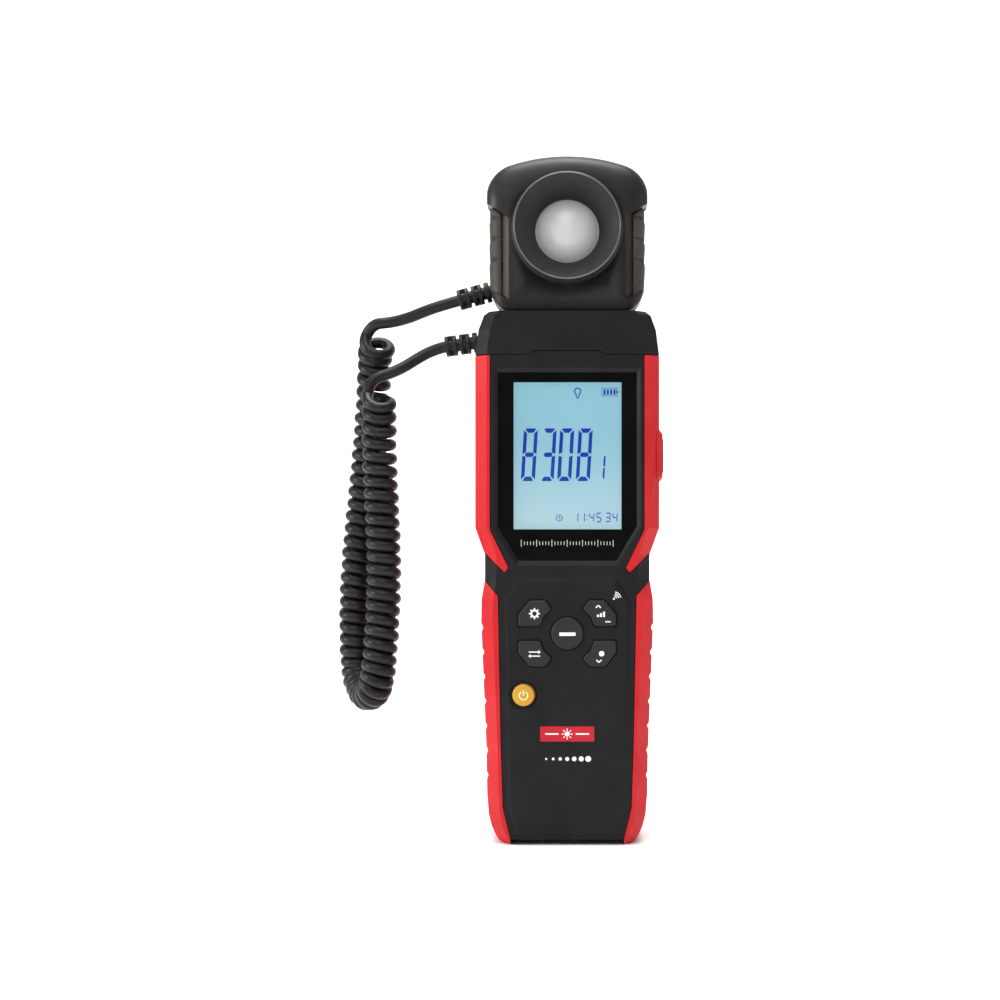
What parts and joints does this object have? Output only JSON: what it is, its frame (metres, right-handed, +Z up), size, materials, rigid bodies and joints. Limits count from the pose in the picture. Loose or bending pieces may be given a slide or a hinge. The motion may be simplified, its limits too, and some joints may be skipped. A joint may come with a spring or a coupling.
{
  "type": "handheld light meter",
  "caption": "Handheld light meter with a backlit display, keypad, red side grips and a lift-off sensor head on a curly cord.",
  "frame": {"origin": "centre of the bottom of the meter, standing upright, without its cord", "axes": "+Z up along the meter towards the sensor head, -Y out of the display, +X to the user's right when facing the display"},
  "size_m": [0.1007, 0.0317, 0.209],
  "materials": {
    "red_rubber": "satin soft-touch red rubber, lighter on the rounded outer edge",
    "black_case": "fine-textured charcoal black moulded plastic",
    "head_case": "fine-textured dark warm grey moulded plastic",
    "head_pad": "dark grey ribbed rubber",
    "window": "clear acrylic window with a black printed border",
    "lcd": "pale blue backlit display",
    "backlight": "translucent light guide",
    "inner_plastic": "natural white moulded plastic",
    "board": "green solder resist",
    "chip": "black moulded package",
    "steel": "nickel-plated steel",
    "brass": "turned brass",
    "cell": "film-wrapped battery can with bare ends",
    "silicone": "translucent grey silicone",
    "key": "speckled charcoal key cap",
    "power": "amber key cap",
    "badge": null,
    "dome": "satin white opal diffuser",
    "filter": "green optical correction glass",
    "cord": "satin black cord jacket",
    "relief": "black moulded rubber sleeve"
  },
  "bodies": {
    "meter_body": {"grip_upper_left": "red_rubber", "grip_upper_right": "red_rubber", "grip_lower_left": "red_rubber", "grip_lower_right": "red_rubber", "front_cover": "black_case", "rear_cover": "black_case", "top_cap": "black_case", "display_window": "window", "lcd_panel": "lcd", "backlight": "backlight", "zebra_strip": "silicone", "lcd_frame": "inner_plastic", "main_board": "board", "mcu_chip": "chip", "wireless_module": "steel", "buzzer": "chip", "usb_socket": "steel", "keypad_membrane": "silicone", "name_badge": "badge", "door_hinge_pin": "steel", "aaa_cells": "cell", "battery_springs": "steel", "battery_contacts": "steel", "tripod_insert": "brass", "body_screws": "steel", "body_strain_relief": "relief", "cord_lead_head": "cord", "cord_lead_body": "cord", "cord_coil": "cord"},
    "sensor_head": {"head_strain_relief": "relief", "head_front_shell": "head_case", "head_rear_shell": "head_case", "head_pad_left": "head_pad", "head_pad_right": "head_pad", "head_screws": "steel", "dock_tongue": "black_case", "sensor_collar": "head_case", "diffuser_dome": "dome", "dome_seal": "silicone", "dome_retainer": "inner_plastic", "optical_filter": "filter", "photodiode": "steel", "sensor_board": "board"},
    "battery_door": {"battery_door": "black_case"},
    "port_cover": {"port_cover": "relief"},
    "set_key": {"set_key": "key"},
    "unit_key": {"unit_key": "key"},
    "max_min_key": {"max_min_key": "key"},
    "rec_key": {"rec_key": "key"},
    "hold_key": {"hold_key": "key"},
    "power_key": {"power_key": "power"}
  },
  "joints": [
    {"name": "head_lift_off", "type": "slide", "parent": "meter_body", "child": "sensor_head", "axis": [0, 0, 1], "range_m": [0, 0.015]},
    {"name": "battery_door_hinge", "type": "hinge", "parent": "meter_body", "child": "battery_door", "pos_m": [0, 0.0132, 0.009], "axis": [-1, 0, 0], "range_deg": [0, 80]},
    {"name": "port_cover_hinge", "type": "hinge", "parent": "meter_body", "child": "port_cover", "pos_m": [0.0286, -0.00125, 0.117], "axis": [0, 0, 1], "range_deg": [0, 90]},
    {"name": "set_key_press", "type": "slide", "parent": "meter_body", "child": "set_key", "axis": [0, 1, 0], "range_m": [0, 0.0006], "stiffness_N_per_m": 2000},
    {"name": "unit_key_press", "type": "slide", "parent": "meter_body", "child": "unit_key", "axis": [0, 1, 0], "range_m": [0, 0.0006], "stiffness_N_per_m": 2000},
    {"name": "max_min_key_press", "type": "slide", "parent": "meter_body", "child": "max_min_key", "axis": [0, 1, 0], "range_m": [0, 0.0006], "stiffness_N_per_m": 2000},
    {"name": "rec_key_press", "type": "slide", "parent": "meter_body", "child": "rec_key", "axis": [0, 1, 0], "range_m": [0, 0.0006], "stiffness_N_per_m": 2000},
    {"name": "hold_key_press", "type": "slide", "parent": "meter_body", "child": "hold_key", "axis": [0, 1, 0], "range_m": [0, 0.0006], "stiffness_N_per_m": 2000},
    {"name": "power_key_press", "type": "slide", "parent": "meter_body", "child": "power_key", "axis": [0, 1, 0], "range_m": [0, 0.0006], "stiffness_N_per_m": 2000}
  ]
}
